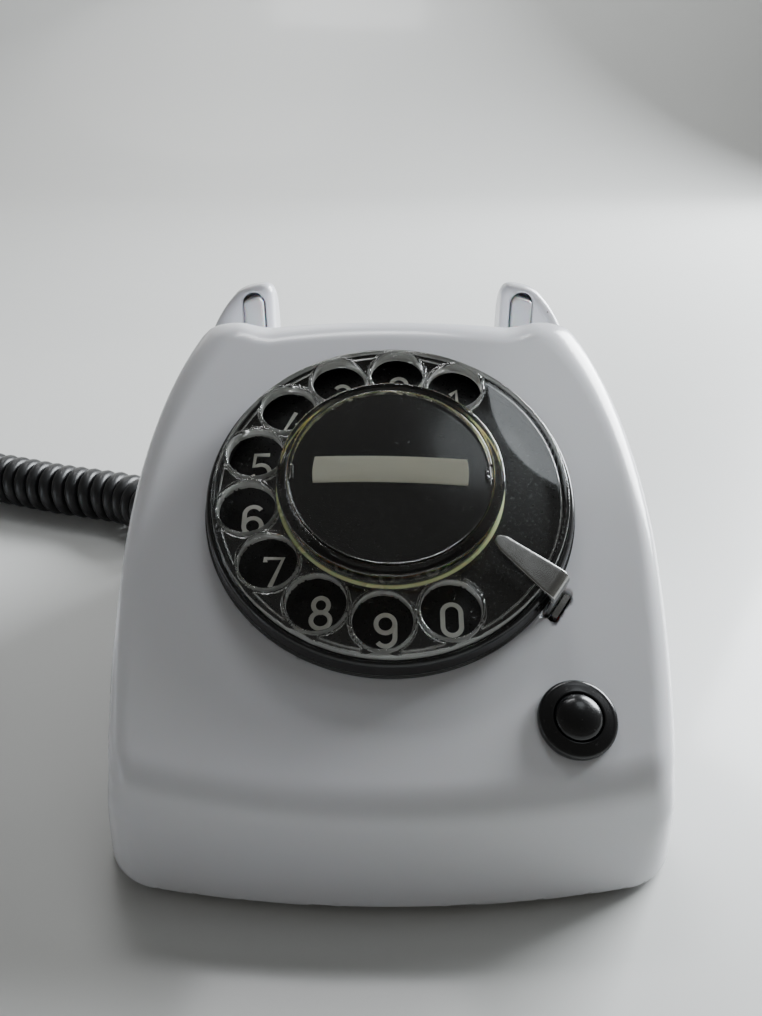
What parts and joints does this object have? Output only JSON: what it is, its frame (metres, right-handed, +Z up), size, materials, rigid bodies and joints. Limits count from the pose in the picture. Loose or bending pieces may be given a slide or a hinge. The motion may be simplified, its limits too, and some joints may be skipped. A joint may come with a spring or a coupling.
{
  "type": "rotary dial telephone",
  "caption": "Wedge-shaped desk telephone with rotary dial, handset cradle, earth button, bell, coiled handset cord, handset and line cord.",
  "frame": {"origin": "centre of the housing's footprint on the table", "axes": "+Z up from the table, +Y from the front lip to the rear wall, +X to the right as seen by the person dialling"},
  "size_m": [0.3035, 0.3597, 0.0997],
  "materials": {
    "white_shell": "glossy, slightly cool white moulded plastic",
    "black_plastic": "glossy black",
    "number_face": "satin black with light grey digits",
    "clear_plastic": "clear, polished",
    "label_paper": "off-white blank paper, slightly yellowed",
    "hook_plastic": "milky translucent",
    "rubber": "matte",
    "cord_black": "semi-gloss black jacket",
    "steel": "zinc-plated",
    "stop_metal": "polished",
    "brass": "satin",
    "contact": "spring alloy",
    "gong_metal": "nickel-plated",
    "winding": "taped copper winding",
    "board": "brown laminate",
    "beige_case": "satin",
    "inner_plastic": "satin"
  },
  "bodies": {
    "telephone": {"housing": "white_shell", "base_plate": "steel", "feet": "rubber", "base_screws": "steel", "dial_bezel": "black_plastic", "number_plate": "number_face", "dial_frame": "steel", "dial_bridge": "brass", "dial_case": "inner_plastic", "dial_screws": "steel", "finger_stop": "stop_metal", "governor_drum": "steel", "mainspring": "steel", "impulse_contacts": "contact", "button_bezel": "black_plastic", "button_cage": "inner_plastic", "button_contacts": "contact", "button_spring": "steel", "hook_guides": "steel", "hook_springs": "steel", "hook_contacts": "contact", "ringer_frame": "steel", "gongs": "gong_metal", "gong_screws": "steel", "ringer_coils": "winding", "circuit_board": "board", "board_screws": "steel", "capacitor": "beige_case", "induction_coil": "winding", "terminal_block": "inner_plastic", "curly_cord": "cord_black", "curly_grommet": "rubber", "line_cord_relief": "rubber", "line_cord": "cord_black", "line_cord_coil": "cord_black", "line_plug": "black_plastic"},
    "dial": {"finger_wheel": "clear_plastic", "hub_cap": "clear_plastic", "label_disc": "black_plastic", "label_strip": "label_paper", "dial_shaft": "steel", "main_gear": "brass"},
    "impulse_train": {"impulse_shaft": "brass"},
    "speed_governor": {"governor": "brass"},
    "button": {"earth_button": "black_plastic"},
    "hook": {"hook_plungers": "hook_plastic", "hook_yoke": "steel"},
    "volume": {"volume_wheel": "white_shell"},
    "striker": {"clapper": "steel"},
    "handset": {"handset_shell": "white_shell", "ear_cap": "white_shell", "mouth_cap": "white_shell", "receiver_capsule": "steel", "transmitter_capsule": "steel", "handset_bush": "rubber"}
  },
  "joints": [
    {"name": "dial_turn", "type": "hinge", "parent": "telephone", "child": "dial", "pos_m": [0, -0.02594, 0.06665], "axis": [0, -0.5299, 0.848], "range_deg": [-318, 0], "stiffness_Nm_per_rad": 0.006, "springref_deg": 171.89},
    {"name": "impulse_spin", "type": "hinge", "parent": "telephone", "child": "impulse_train", "pos_m": [-0.02631, -0.03406, 0.06158], "axis": [0, -0.5299, 0.848], "range_deg": [0, 1272]},
    {"name": "governor_spin", "type": "hinge", "parent": "telephone", "child": "speed_governor", "pos_m": [-0.01482, -0.04224, 0.05647], "axis": [0, -0.5299, 0.848], "range_deg": [-5088, 0]},
    {"name": "button_press", "type": "slide", "parent": "telephone", "child": "button", "axis": [0, 0.5299, -0.848], "range_m": [0, 0.0025], "stiffness_N_per_m": 300, "springref_m": -0.002, "deforming": ["button_spring"]},
    {"name": "hook_press", "type": "slide", "parent": "telephone", "child": "hook", "axis": [0, 0, -1], "range_m": [0, 0.007], "stiffness_N_per_m": 120, "springref_m": -0.008, "deforming": ["hook_springs"]},
    {"name": "volume_turn", "type": "hinge", "parent": "telephone", "child": "volume", "pos_m": [-0.046, 0.006, 0.0035], "axis": [0, 0, 1], "range_deg": [-150, 150]},
    {"name": "striker_swing", "type": "hinge", "parent": "telephone", "child": "striker", "pos_m": [0, 0.06605, 0.022], "axis": [0, 0, 1], "range_deg": [-5, 5], "stiffness_Nm_per_rad": 0.002},
    {"name": "handset_lift", "type": "slide", "parent": "telephone", "child": "handset", "axis": [0, 0, 1], "range_m": [0, 0.15]}
  ],
  "couplings": [
    {"joint": "impulse_spin", "follows": "dial_turn", "ratio": -4},
    {"joint": "governor_spin", "follows": "dial_turn", "ratio": 16}
  ]
}
